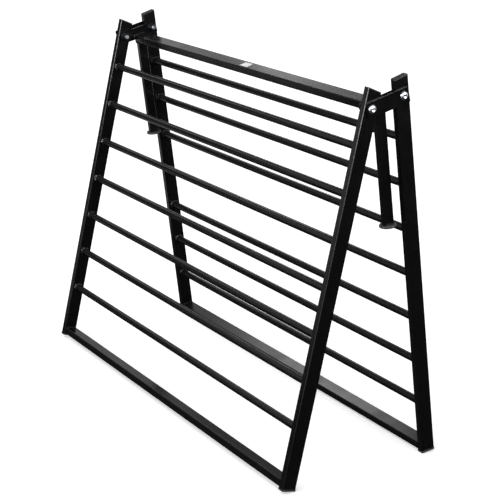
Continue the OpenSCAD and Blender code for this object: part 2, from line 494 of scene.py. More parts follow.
@dataclass
class Shell:
    """Closed surfaces collected as whole arrays and then written to one mesh."""

    points: list[Array] = field(default_factory=list)
    quads: list[Faces] = field(default_factory=list)
    triangles: list[Faces] = field(default_factory=list)
    count: int = 0

    def tube(self, rows: Array, ring: bool = False) -> "Shell":
        """Adds a grid of points that closes on itself along its second direction.

        Row i, column j is joined to row i + 1 and column j + 1, with the last column joined to the
        first. An open run of rows gets a fan over each end, round the middle of that row.

        Args:
            rows: Points, shaped (rows, columns, 3).
            ring: Whether the last row also joins the first, as on a torus.

        Returns:
            This shell.
        """
        n, m = rows.shape[:2]
        points = rows.reshape(-1, 3)
        index = np.arange(n * m).reshape(n, m)
        below = index if ring else index[:-1]
        above = np.roll(index, -1, axis=0) if ring else index[1:]
        corners = [below, np.roll(below, -1, 1), np.roll(above, -1, 1), above]
        quads = np.stack(corners, axis=-1).reshape(-1, 4)
        fans = np.empty((0, 3), int)
        if not ring:
            points = np.concatenate([points, [rows[0].mean(0), rows[-1].mean(0)]])
            first, last = np.full(m, n * m), np.full(m, n * m + 1)
            bottom = np.stack([np.roll(index[0], -1), index[0], first], axis=-1)
            top = np.stack([index[-1], np.roll(index[-1], -1), last], axis=-1)
            fans = np.concatenate([bottom, top])
        if enclosed(points, quads, fans) < 0:
            quads, fans = quads[:, ::-1], fans[:, ::-1]
        self.points.append(points)
        self.quads.append(quads + self.count)
        self.triangles.append(fans + self.count)
        self.count += len(points)
        return self

    def piece(
        self, name: str, finish: Finish, materials: "Materials", smooth_deg: float = SMOOTH_DEG
    ) -> bpy.types.Object:
        """Writes the shell to a mesh object with its finish.

        Args:
            name: The piece's name.
            finish: Its finish.
            materials: The made materials.
            smooth_deg: Faces that meet at less than this angle are shaded as one surface.

        Returns:
            The new object.
        """
        points = np.concatenate(self.points).astype(np.float32)
        quads, triangles = np.concatenate(self.quads), np.concatenate(self.triangles)
        corners = np.concatenate([quads.ravel(), triangles.ravel()]).astype(np.int32)
        sizes = np.repeat([4, 3], [len(quads), len(triangles)])
        mesh = bpy.data.meshes.new(name)
        mesh.vertices.add(len(points))
        mesh.vertices.foreach_set("co", points.ravel())
        mesh.loops.add(len(corners))
        mesh.loops.foreach_set("vertex_index", corners)
        mesh.polygons.add(len(sizes))
        mesh.polygons.foreach_set("loop_start", (np.cumsum(sizes) - sizes).astype(np.int32))
        mesh.update(calc_edges=True)
        mesh.shade_smooth()
        mesh.set_sharp_from_angle(angle=math.radians(smooth_deg))
        mesh.materials.append(materials.of(finish))
        return linked(name, mesh)


def enclosed(points: Array, quads: Faces, triangles: Faces) -> float:
    """Volume inside the faces, positive where they point outwards.

    Each triangle adds a sixth of the triple product of its corners, and a quad is two triangles.

    Args:
        points: All points.
        quads: Rows of four corner numbers.
        triangles: Rows of three corner numbers.

    Returns:
        The volume in cubic metres.
    """
    halves = np.concatenate([quads[:, [0, 1, 2]], quads[:, [0, 2, 3]], triangles])
    a, b, c = (points[halves[:, k]] - points[0] for k in range(3))
    return float(np.einsum("ij,ij->i", a, np.cross(b, c)).sum() / 6)


def softened(node: str, name: str, radius_mm: float, material: bpy.types.Material) -> bpy.types.Object:
    """A copy of a CAD node whose sharp edges are rolled to a radius.

    The copy's loose triangles are merged and its flat faces joined before the edges are rolled.

    Args:
        node: The CAD node.
        name: The copy's name.
        radius_mm: Radius of the edges.
        material: Its material.

    Returns:
        The new object.
    """
    mesh = frame["nodes"][node].data.copy()
    solid = bmesh.new()
    solid.from_mesh(mesh)
    bmesh.ops.remove_doubles(solid, verts=solid.verts, dist=HAIR_MM * MM)
    bmesh.ops.dissolve_limit(solid, angle_limit=math.radians(1), verts=solid.verts, edges=solid.edges)
    solid.to_mesh(mesh)
    solid.free()
    mesh.materials.clear()
    mesh.materials.append(material)
    mesh.shade_smooth()
    mesh.set_sharp_from_angle(angle=math.radians(SMOOTH_DEG))
    copy = linked(name, mesh)
    roll = copy.modifiers.new("rolled_edges", "BEVEL")
    roll.width, roll.segments = radius_mm * MM, 4
    roll.limit_method, roll.angle_limit = "ANGLE", math.radians(SMOOTH_DEG)
    roll.harden_normals = True
    return copy


@dataclass(frozen=True)
class Axes:
    """A place in the rack's frame: an origin and three unit directions."""

    origin: Array
    x: Array
    y: Array
    z: Array

    def place(self, points: Array) -> Array:
        """Moves points, given along this place's own axes in metres, into the rack's frame."""
        return self.origin + points @ np.stack([self.x, self.y, self.z])

    def moved(self, x: float = 0, y: float = 0, z: float = 0) -> "Axes":
        """The same directions from another origin, given along this place's own axes."""
        return Axes(self.place(np.array([x, y, z])), self.x, self.y, self.z)


def unit(vector: Array) -> Array:
    """The vector scaled to a length of one."""
    return vector / np.linalg.norm(vector)


def leaning(origin: Array, down: Array, outwards: Array) -> Axes:
    """Axes of a member that leans in the YZ plane: x along the rack, z up the member.

    Args:
        origin: The place's origin.
        down: Direction down the member.
        outwards: Rough direction of its outer side, which sets the sign of y.

    Returns:
        The axes, with y square to the member on its outer side.
    """
    up = -unit(down)
    y = np.cross(up, X)
    return Axes(origin, X, y if y @ outwards > 0 else -y, up)


def arc(start_deg: float, end_deg: float, steps: int) -> Array:
    """Unit directions from one angle to another, shaped (steps + 1, 2)."""
    angle = np.radians(np.linspace(start_deg, end_deg, steps + 1))
    return np.stack([np.cos(angle), np.sin(angle)], axis=-1)


def oblong(
    width: float, depth: float, radius: float, step: float = 0, corner: int = 6
) -> tuple[Array, Array]:
    """A rectangle with round corners, walked once round against the clock.

    Each corner is a quarter circle about its own centre, and each side between two corners is cut
    into equal steps.

    Args:
        width: Size along the first axis, in metres.
        depth: Size along the second axis.
        radius: Corner radius.
        step: Longest step along a side, or 0 to leave a side as one step.
        corner: Steps in a quarter circle.

    Returns:
        Points and outward directions, each shaped (count, 2).
    """
    points, normals = [], []
    half = np.array([width / 2 - radius, depth / 2 - radius])
    signs = np.array([[1, 1], [-1, 1], [-1, -1], [1, -1]])
    for k in range(4):
        turn = arc(90 * k, 90 * k + 90, corner)
        here = signs[k] * half + radius * turn
        there = signs[(k + 1) % 4] * half + radius * turn[-1]
        run = there - here[-1]
        pieces = max(1, math.ceil(np.linalg.norm(run) / step)) if step else 1
        share = np.arange(1, pieces)[:, None] / pieces
        points += [here, here[-1] + share * run]
        normals += [turn, np.repeat(turn[-1:], pieces - 1, axis=0)]
    return np.concatenate(points), np.concatenate(normals)


def circle(radius: float, steps: int) -> tuple[Array, Array]:
    """A circle's points and outward directions, each shaped (steps, 2)."""
    normals = arc(0, 360, steps)[:-1]
    return radius * normals, normals


def carried(outline: Array, normals: Array, profile: Array) -> Array:
    """Carries a profile round an outline.

    Point (t, s) is the outline's point s, moved out along its normal by the profile's first value
    and up by its second.

    Args:
        outline: Points, shaped (m, 2).
        normals: Outward directions, shaped (m, 2).
        profile: Pairs of distance out and height, shaped (n, 2).

    Returns:
        Points shaped (n, m, 3).
    """
    flat = outline[None] + normals[None] * profile[:, None, :1]
    height = np.broadcast_to(profile[:, None, 1:], (len(profile), len(outline), 1))
    return np.concatenate([flat, height], axis=-1)


def turned(profile: Array, steps: int) -> Array:
    """Turns a profile about the z axis: a profile carried round a point.

    Args:
        profile: Pairs of radius and height, shaped (n, 2).
        steps: Steps in a full turn.

    Returns:
        Points shaped (n, steps, 3).
    """
    directions = arc(0, 360, steps)[:-1]
    return carried(np.zeros_like(directions), directions, profile)


def rounded(corner: tuple[float, float], radius: float, start_deg: float, steps: int = 5) -> Array:
    """Quarter circle that rounds a profile's corner, walked against the clock.

    Args:
        corner: Centre of the quarter circle.
        radius: Its radius.
        start_deg: The angle that it starts at.
        steps: Steps in the quarter.

    Returns:
        Points shaped (steps + 1, 2).
    """
    return np.array(corner) + radius * arc(start_deg, start_deg + 90, steps)


def shrunk(row: Array, steps: int, crown: float) -> Array:
    """Fills a closed row with smaller copies of itself, rising to a crown in the middle.

    Copy t is the row drawn a share t of the way to its middle, raised by crown times 1 less the
    square of 1 - t.

    Args:
        row: Points, shaped (m, 3), with z up.
        steps: Number of copies.
        crown: Height of the middle over the row.

    Returns:
        Points shaped (steps, m, 3).
    """
    share = (np.arange(1, steps + 1) / (steps + 1))[:, None, None]
    rows = row[None] * (1 - share) + row.mean(0) * share
    rows[..., 2] += crown * (1 - (1 - share[..., 0]) ** 2)
    return rows


def hexagon(steps: int) -> Array:
    """Distance to a hexagon's edge in each direction, where a corner is at 1.

    It is the cosine of 30 degrees over the cosine of the angle from the nearest flat's middle.

    Args:
        steps: Directions in a full turn.

    Returns:
        One distance for each direction.
    """
    angle = np.linspace(0, TAU, steps, endpoint=False) % (TAU / 6) - TAU / 12
    return math.cos(TAU / 12) / np.cos(angle)


@dataclass(frozen=True)
class WeldBead:
    """Fillet bead of an arc weld, coated with the parts that it joins.

    Sizes are in millimetres. The bead is a convex fillet with a scallop for each step of the arc,
    a slow swell from the hand that laid it, and a lump where it starts.
    """

    leg_mm: float = 4.2
    root_mm: float = 0.8
    bulge: float = 1.35
    ripple_mm: float = 2.3
    scallop: float = 0.14
    swell: float = 0.07
    swell_mm: float = 17.0
    wobble_mm: float = 7.3
    lump: float = 0.3
    lump_mm: float = 2.2
    step_mm: float = 0.5
    taper_steps: int = 6
    taper_least: float = 0.25

    def section(self) -> Array:
        """The bead's cross-section: a bulging arc, closed behind the faces it lies on.

        Returns:
            Closed loop of distance out from the member and height over the plate, in metres.
        """
        turn = arc(0, 90, 6) ** self.bulge
        root = -self.root_mm / self.leg_mm
        hidden = np.array([[root, 1], [root, root], [1, root]])
        return np.concatenate([turn, hidden]) * self.leg_mm * MM

    def size_along(self, run: Array, phase: float) -> Array:
        """How the bead's size varies along it, about 1.

        The scallops are the size of a cosine less its mean. Two slow sines make the swells, and a
        bell curve makes the lump. Each is shifted by its own multiple of the phase.

        Args:
            run: Distance along the bead, in metres.
            phase: Shifts the pattern, so that no two beads are the same.

        Returns:
            One factor for each distance.
        """
        along = run / MM
        scallops = np.abs(np.cos(math.pi * (along / self.ripple_mm + phase))) - MEAN_SCALLOP
        swells = np.sin(along * TAU / self.swell_mm + 5 * phase)
        swells += 0.6 * np.sin(along * TAU / self.wobble_mm + 9 * phase)
        start = np.exp(-(((along - (3 + 9 * phase % 6)) / self.lump_mm) ** 2))
        return 1 + self.scallop * scallops + self.swell * swells + self.lump * start

    def lay(
        self,
        shell: Shell,
        axes: Axes,
        outline: Array,
        normals: Array,
        phase: float,
        closed: bool = True,
    ) -> None:
        """Lays the bead along an outline on a flat face.

        Station s of the bead is the outline's point s, moved out along its normal and up from the
        face by the cross-section, times the size there.

        Args:
            shell: The shell that gets the bead.
            axes: The face: z points away from it, along the member.
            outline: The member's outline on the face, shaped (m, 2).
            normals: Its outward directions.
            phase: Shifts the bead's pattern.
            closed: Whether the outline joins its own start. An open bead thins out at both ends.
        """
        steps = np.linalg.norm(np.diff(outline, axis=0, prepend=outline[:1]), axis=1)
        size = self.size_along(np.cumsum(steps), phase)
        if not closed:
            station = np.arange(len(size))
            from_end = np.minimum(station, station[::-1]) / self.taper_steps
            size = size * np.sqrt(np.clip(from_end, self.taper_least, 1))
        section = self.section()
        reach = size[:, None] * section[None, :, 0]
        height = size[:, None] * section[None, :, 1]
        flat = outline[:, None] + normals[:, None] * reach[..., None]
        shell.tube(axes.place(np.concatenate([flat, height[..., None]], axis=-1)), ring=closed)


# ---------------------------------------------------------------------------
# Sub-assemblies
# ---------------------------------------------------------------------------


@dataclass
class Materials:
    """The materials made so far, by the title of their finish."""

    made: dict[str, bpy.types.Material] = field(default_factory=dict)

    def of(self, finish: Finish) -> bpy.types.Material:
        """Finds a finish's material, or makes it the first time that it is asked for.

        Args:
            finish: The finish.

        Returns:
            Its material.
        """
        if finish.title not in self.made:
            self.made[finish.title] = finish.material()
        return self.made[finish.title]

    def dress(self, node: str, finish: Finish) -> None:
        """Gives a CAD node the material of a finish."""
        for slot in frame["nodes"][node].material_slots:
            slot.material = self.of(finish)


@dataclass
class SubAssembly:
    """What every sub-assembly of the rack shares: its body and its way of adding a piece."""

    body: str
    materials: Materials

    def add(self, piece: bpy.types.Object, finish: Finish, *replaced: str) -> None:
        """Mounts a finished piece on this sub-assembly's body.

        Args:
            piece: The piece, in place in the rack's frame.
            finish: Its finish. Not used.
            *replaced: CAD nodes that the piece stands for.
        """
        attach(piece, self.body)
        if replaced:
            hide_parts(*replaced)
        log.info("%s: %s, %d faces", self.body, piece.name, len(piece.data.polygons))

    def nodes(self, ending: str = "") -> list[str]:
        """The CAD nodes of this body whose names hold the given words."""
        return [n for n in frame["record"]["behaviour"]["bodies"][self.body] if ending in n]


def middle(node: str) -> Array:
    """The middle of a CAD node's box."""
    low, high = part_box(node)
    return np.array((low + high) / 2)


@dataclass
class RungFrame(SubAssembly):
    """One ladder-like frame: two rails, seven rungs, a bottom bar, two caps and two feet.

    The tube sizes are those of the stock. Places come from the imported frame.
    """

    leaf: Leaf = Leaf.FRONT
    tube_depth_mm: float = 38.0
    tube_thickness_mm: float = 19.0
    tube_radius_mm: float = 2.5
    tube_wall_mm: float = 1.5
    rung_count: int = 7
    rise_mm: float = 45.0
    below_mm: float = 933.0
    bevel_deg: float = 10.25
    cap_mm: float = 3.0
    cap_crown_mm: float = 0.4
    foot_mm: float = 5.0
    foot_lip_mm: float = 0.8
    foot_dish_mm: float = 0.3
    plug_depth_mm: float = 16.0
    plug_gap_mm: float = 0.15
    plug_lead_mm: tuple[float, float] = (0.6, 1.2)
    edge_mm: float = 0.8
    outline_step_mm: float = 3.0
    fill_rows: int = 5
    weld: WeldBead = WeldBead()
    bar_weld: WeldBead = WeldBead(leg_mm=2.2)

    @property
    def axes(self) -> Axes:
        """The frame's own axes: origin at its pivot, z up the rails, y on its outer side."""
        down = middle(self.node(f"rung_{self.rung_count}")) - middle(self.node("rung_1"))
        return leaning(self.leaf.pivot, down, np.array([0.0, self.leaf.value, 0.0]))

    @property
    def rail_x(self) -> float:
        """Middle of the right rail, in metres."""
        return float(middle(self.node("rail_right"))[0])

    @property
    def inner_x(self) -> float:
        """Inner face of the right rail, in metres."""
        return float(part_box(self.node("rail_right"))[0].x)

    def node(self, part: str) -> str:
        """The full name of a part of this frame."""
        return f"{self.leaf.label}_{part}"

    def end_face(self, node: str, side: Side) -> Axes:
        """The rail face that one end of a rung or bar meets, with z along the member.

        Args:
            node: The rung or bar.
            side: Which end.

        Returns:
            Axes at the middle of that end: x on the frame's outer side, y up the rail.
        """
        frame_axes = self.axes
        place = middle(node) * [0, 1, 1] + X * self.inner_x * side.value
        return Axes(place, frame_axes.y, frame_axes.z, -X * side.value)

    def welds(self) -> bpy.types.Object:
        """The beads round every rung end, and along the upper face of the bottom bar's ends.

        Returns:
            One piece that holds them all.
        """
        shell = Shell()
        rung_low, rung_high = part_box(self.node("rung_1"))
        rung_radius = float(rung_high.y - rung_low.y) / 2
        around = circle(rung_radius, round(TAU * rung_radius / (self.weld.step_mm * MM)))
        half_run = (self.tube_depth_mm / 2 - 2 * self.tube_radius_mm) * MM
        for side in Side:
            for number in range(1, self.rung_count + 1):
                face = self.end_face(self.node(f"rung_{number}"), side)
                self.weld.lay(shell, face, *around, phase=0.37 * number + side.value * 0.21)
            face = self.end_face(self.node("bottom_bar"), side)
            along = np.linspace(-half_run, half_run, round(2 * half_run / (self.weld.step_mm * MM)))
            line = np.stack([along, np.full_like(along, self.tube_thickness_mm / 2 * MM)], axis=-1)
            upwards = np.tile([0.0, 1.0], (len(line), 1))
            self.bar_weld.lay(shell, face, line, upwards, phase=0.3 + 0.1 * side.value, closed=False)
        return shell.piece(self.node("welds"), COAT, self.materials, smooth_deg=WELD_SMOOTH_DEG)

    def plug_inset(self, lip_mm: float) -> float:
        """Distance of a plug's face inside a flange that stands lip_mm past the tube, in mm."""
        return -(self.tube_wall_mm + self.plug_gap_mm + lip_mm)

    def filled(self, profile: Array, lip_mm: float, crown_mm: float) -> Array:
        """Carries a cap's or foot's profile round the tube and fills in its outer face.

        Args:
            profile: Pairs of distance out and height, in millimetres.
            lip_mm: How far the outline stands past the tube.
            crown_mm: Height of the outer face's middle.

        Returns:
            Points shaped (rows, columns, 3), in metres.
        """
        width, depth = self.tube_thickness_mm + 2 * lip_mm, self.tube_depth_mm + 2 * lip_mm
        radius, step = self.tube_radius_mm * MM, self.outline_step_mm * MM
        outline, normals = oblong(width * MM, depth * MM, radius, step=step)
        rows = carried(outline, normals, profile * MM)
        return np.concatenate([rows, shrunk(rows[-1], self.fill_rows, crown_mm * MM)])

    def cap(self, side: Side) -> bpy.types.Object:
        """The bevelled cap of a rail top.

        A profile of plug, flange and rounded edge is carried round the tube's outline, the flange's
        rows lean with the bevel, and the top is filled in to a slight crown.

        Args:
            side: Which rail.

        Returns:
            The cap.
        """
        edge, crown, under = self.edge_mm, self.cap_crown_mm, -self.cap_mm
        end = under - self.plug_depth_mm
        inset = self.plug_inset(0)
        taper, lead = self.plug_lead_mm
        profile = np.array(
            [
                [inset - taper, end],
                [inset, end + lead],
                [inset, under - HAIR_MM],
                [0.0, under],
                *rounded((-edge, -edge - crown), edge, 0),
            ]
        )
        rows = self.filled(profile, lip_mm=0, crown_mm=crown)
        lean = np.clip((rows[:, :1, 2] / MM - end) / self.plug_depth_mm, 0, 1)
        rows[..., 2] += rows[..., 1] * math.tan(math.radians(self.bevel_deg)) * lean
        place = self.axes.moved(x=self.rail_x * side.value, z=self.rise_mm * MM)
        name = self.node(f"cap_{side.label}_moulded")
        return Shell().tube(place.place(rows)).piece(name, PLASTIC, self.materials)

    def foot(self, side: Side) -> bpy.types.Object:
        """The foot of a rail end: a flange with rounded edges, a shallow dish below and a plug.

        Args:
            side: Which rail.

        Returns:
            The foot.
        """
        edge, lip = self.edge_mm, self.foot_lip_mm
        inset = self.plug_inset(lip)
        end = self.foot_mm + self.plug_depth_mm
        taper, lead = self.plug_lead_mm
        profile = np.array(
            [
                [inset - taper, end],
                [inset, end - lead],
                [inset, self.foot_mm + HAIR_MM],
                *rounded((-edge, self.foot_mm - edge), edge, 0)[::-1],
                *rounded((-edge, edge), edge, -90)[::-1],
            ]
        )
        rows = self.filled(profile, lip_mm=lip, crown_mm=self.foot_dish_mm)
        place = self.axes.moved(x=self.rail_x * side.value, z=-self.below_mm * MM)
        name = self.node(f"foot_{side.label}_moulded")
        return Shell().tube(place.place(rows)).piece(name, PLASTIC, self.materials)

    def build(self) -> None:
        """Dresses the CAD nodes of this frame and adds its welds, caps and feet."""
        for node in self.nodes():
            self.materials.dress(node, PLASTIC if "_cap_" in node or "_foot_" in node else COAT)
        self.add(self.welds(), COAT)
        for side in Side:
            self.add(self.cap(side), PLASTIC, self.node(f"cap_{side.label}"))
            self.add(self.foot(side), PLASTIC, self.node(f"foot_{side.label}"))


@dataclass
class PivotHardware(SubAssembly):
    """Bolts, washers and lock nuts of the four pivots, with the sleeves and thrust washers.

    Sizes are in millimetres, and each profile runs along the bolt from its head.
    """

    bolt_radius_mm: float = 6.0
    pitch_mm: float = 1.75
    rows_per_pitch: int = 6
    thread_depth_mm: float = 0.55
    thread_length_mm: float = 18.0
    head_radius_mm: float = 10.5
    head_height_mm: float = 6.5
    head_rim_mm: float = 0.8
    rim_edge_mm: tuple[float, float] = (0.25, 0.1)
    head_edge_mm: float = 0.2
    dome_rows: int = 10
    under_head_mm: float = 0.3
    bolt_point_mm: tuple[float, float] = (1.1, 0.8)
    socket_radius_mm: float = 4.62
    socket_depth_mm: float = 3.5
    socket_lead_mm: tuple[float, float] = (0.5, 0.35)
    socket_floor_edge_mm: tuple[float, float] = (0.4, 0.3)
    drill_point_mm: tuple[float, float] = (1.5, 0.7)
    washer_radius_mm: float = 12.0
    washer_mm: float = 2.0
    washer_edge_mm: float = 0.4
    nut_radius_mm: float = 10.97
    nut_mm: float = 8.0
    nut_chamfer_mm: tuple[float, float] = (1.5, 0.9)
    cone_gap_mm: float = 0.1
    collar_radius_mm: float = 9.5
    collar_mm: float = 4.0
    collar_edge_mm: float = 1.2
    collar_foot_mm: float = 0.2
    ring_radius_mm: float = 7.5
    ring_mm: float = 3.0
    bore_edge_mm: float = 0.5
    bolt_end_mm: float = 1.0
    bore_gap_mm: float = 0.05
    turns_deg: tuple[float, ...] = (17.0, 49.0, 48.0, 27.0)
    nut_turn_deg: float = 11.0
    steps: int = 72

    @property
    def seat_x(self) -> float:
        """Outer face of the right outer plate, where a bolt head sits, in metres."""
        return float(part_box("outer_plate_right")[1].x)

    @property
    def nut_x(self) -> float:
        """Face of the right inner plate that a nut washer sits on, in metres."""
        return float(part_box("inner_plate_right")[0].x)

    @property
    def stack_mm(self) -> float:
        """Height of a nut over its seat, with its collar."""
        return self.nut_mm + self.collar_mm

    def at(self, side: Side, leaf: Leaf, x: float, outwards: bool, turn_deg: float = 0.0) -> Axes:
        """A place on a pivot's axis.

        Args:
            side: Which end of the rack.
            leaf: The frame that turns on the pivot.
            x: Distance from the middle of the rack, in metres.
            outwards: Whether z points out of the rack or into it.
            turn_deg: Turn about the axis.

        Returns:
            Axes with z along the pivot.
        """
        z = X * side.value * (1 if outwards else -1)
        turn = math.radians(turn_deg)
        across = np.array([0.0, math.cos(turn), math.sin(turn)])
        centre = leaf.pivot * [0, 1, 1] + X * x * side.value
        return Axes(centre, across, np.cross(z, across), z)

    def head_profile(self) -> Array:
        """The head of a bolt, from the middle of its socket over the dome to its seat.

        The dome is an arc of the circle through the crown and the rim. The first two points are the
        drilled point and floor of the socket, and the next two are its wall.

        Returns:
            Pairs of radius and height over the seat, in millimetres.
        """
        rim, height, radius = self.head_rim_mm, self.head_height_mm, self.head_radius_mm
        socket, edge = self.socket_radius_mm, self.head_edge_mm
        rim_in, rim_down = self.rim_edge_mm
        lead_out, lead_down = self.socket_lead_mm
        edge_in, edge_up = self.socket_floor_edge_mm
        point_radius, point_depth = self.drill_point_mm
        dome = (radius**2 + (height - rim) ** 2) / (2 * (height - rim))
        across = np.linspace(socket + lead_out, radius - rim_in, self.dome_rows)
        crest = height - dome + np.sqrt(dome**2 - across**2)
        floor = height - self.socket_depth_mm
        return np.array(
            [
                [point_radius, floor - point_depth],
                [socket - edge_in, floor],
                [socket, floor + edge_up],
                [socket, crest[0] - lead_down],
                *np.stack([across, crest], axis=-1),
                [radius, rim - rim_down],
                [radius, edge],
                [radius - edge, 0.0],
            ]
        )

    def bolt(self) -> Array:
        """One bolt, head up, with its seat at zero.

        The head is turned from its profile, with its socket drawn in from a circle to a hexagon. The
        thread is a ridge whose phase turns once round the shank for each pitch.

        Returns:
            Points shaped (rows, steps, 3).
        """
        shank, fillet = self.bolt_radius_mm, self.under_head_mm
        point_in, point_up = self.bolt_point_mm
        grip = (self.seat_x - self.nut_x) / MM + self.washer_mm + self.stack_mm + self.bolt_end_mm
        ridge_rows = round(self.thread_length_mm / self.pitch_mm * self.rows_per_pitch)
        down = np.linspace(grip - self.thread_length_mm, grip - point_up, ridge_rows)
        thread = np.stack([np.full_like(down, shank), -down], axis=-1)
        neck = [[shank + fillet, 0.0], [shank, -fillet]]
        end = [[shank - point_in, -grip]]
        rows = turned(np.concatenate([self.head_profile(), neck, thread, end]) * MM, self.steps)
        socket_rows = slice(1, 4)
        rows[socket_rows, :, :2] *= hexagon(self.steps)[None, :, None]
        angle = np.linspace(0, 1, self.steps, endpoint=False)
        phase = (down[:, None] / self.pitch_mm + angle[None]) % 1
        fade = np.clip((down - down[0]) / self.pitch_mm, 0, 1)[:, None]
        cut = self.thread_depth_mm / self.bolt_radius_mm * (1 - np.abs(2 * phase - 1)) * fade
        rows[-1 - len(down) : -1, :, :2] *= 1 - cut[..., None]
        return rows

    def washer(self) -> Array:
        """One washer, turned from a profile with chamfered edges, its lower face at zero.

        Returns:
            Points shaped (rows, steps, 3).
        """
        hole = self.bolt_radius_mm + 3 * self.bore_gap_mm
        radius, top, edge = self.washer_radius_mm, self.washer_mm, self.washer_edge_mm
        profile = np.array(
            [
                [hole, 0],
                [radius - edge, 0],
                [radius, edge],
                [radius, top - edge],
                [radius - edge, top],
                [hole, top],
            ]
        )
        return turned(profile * MM, self.steps)

    def nut(self) -> Array:
        """One lock nut, seat at zero, with its collar up.

        The hexagon's corners are cut by a cone at both ends: each point lies at the nearer of the
        hexagon's edge and the cone. The profile then turns in over the collar and down the bore.

        Returns:
            Points shaped (rows, steps, 3).
        """
        bore, cone = self.bolt_radius_mm + self.bore_gap_mm, self.nut_radius_mm + self.cone_gap_mm
        chamfer_in, chamfer_up = self.nut_chamfer_mm
        body = np.array(
            [
                [cone - chamfer_in, 0],
                [cone, chamfer_up],
                [cone, self.nut_mm - chamfer_up],
                [cone - chamfer_in, self.nut_mm],
            ]
        )
        tall, edge = self.stack_mm, self.collar_edge_mm
        collar = np.array(
            [
                [self.collar_radius_mm, self.nut_mm + self.collar_foot_mm],
                *rounded((self.collar_radius_mm - edge, tall - edge), edge, 0),
                [self.ring_radius_mm, tall],
                [self.ring_radius_mm, tall - self.ring_mm],
                [bore, tall - self.ring_mm],
                [bore, self.bore_edge_mm],
                [bore + self.bore_edge_mm, 0],
            ]
        )
        rows = turned(np.concatenate([body, collar]) * MM, self.steps)
        distance = np.linalg.norm(rows[: len(body), :, :2], axis=-1)
        limit = self.nut_radius_mm * MM * hexagon(self.steps)[None]
        rows[: len(body), :, :2] *= np.minimum(1, limit / distance)[..., None]
        return rows

    def build(self) -> None:
        """Dresses the sleeves, rings and thrust washers, and adds bolts, nuts and nut washers."""
        finishes = {
            "pivot_sleeves": ZINC,
            "pivot_bolts": ZINC,
            "nut_washers": DARK_ZINC,
            "lock_nuts": DARK_ZINC,
            "thrust_washers": NYLON,
            "locking_rings": NYLON,
        }
        for node, finish in finishes.items():
            self.materials.dress(node, finish)
        bolts, washers, nuts = Shell(), Shell(), Shell()
        nut_x = self.nut_x - self.washer_mm * MM
        places = [(side, leaf) for side in Side for leaf in Leaf]
        for (side, leaf), turn in zip(places, self.turns_deg):
            bolts.tube(self.at(side, leaf, self.seat_x, True, turn).place(self.bolt()))
            washers.tube(self.at(side, leaf, self.nut_x, False).place(self.washer()), ring=True)
            nut_axes = self.at(side, leaf, nut_x, False, turn + self.nut_turn_deg)
            nuts.tube(nut_axes.place(self.nut()), ring=True)
        for shell, node, made in (
            (bolts, "pivot_bolts", "turned"),
            (washers, "nut_washers", "pressed"),
            (nuts, "lock_nuts", "chamfered"),
        ):
            self.add(shell.piece(f"{node}_{made}", finishes[node], self.materials), finishes[node], node)


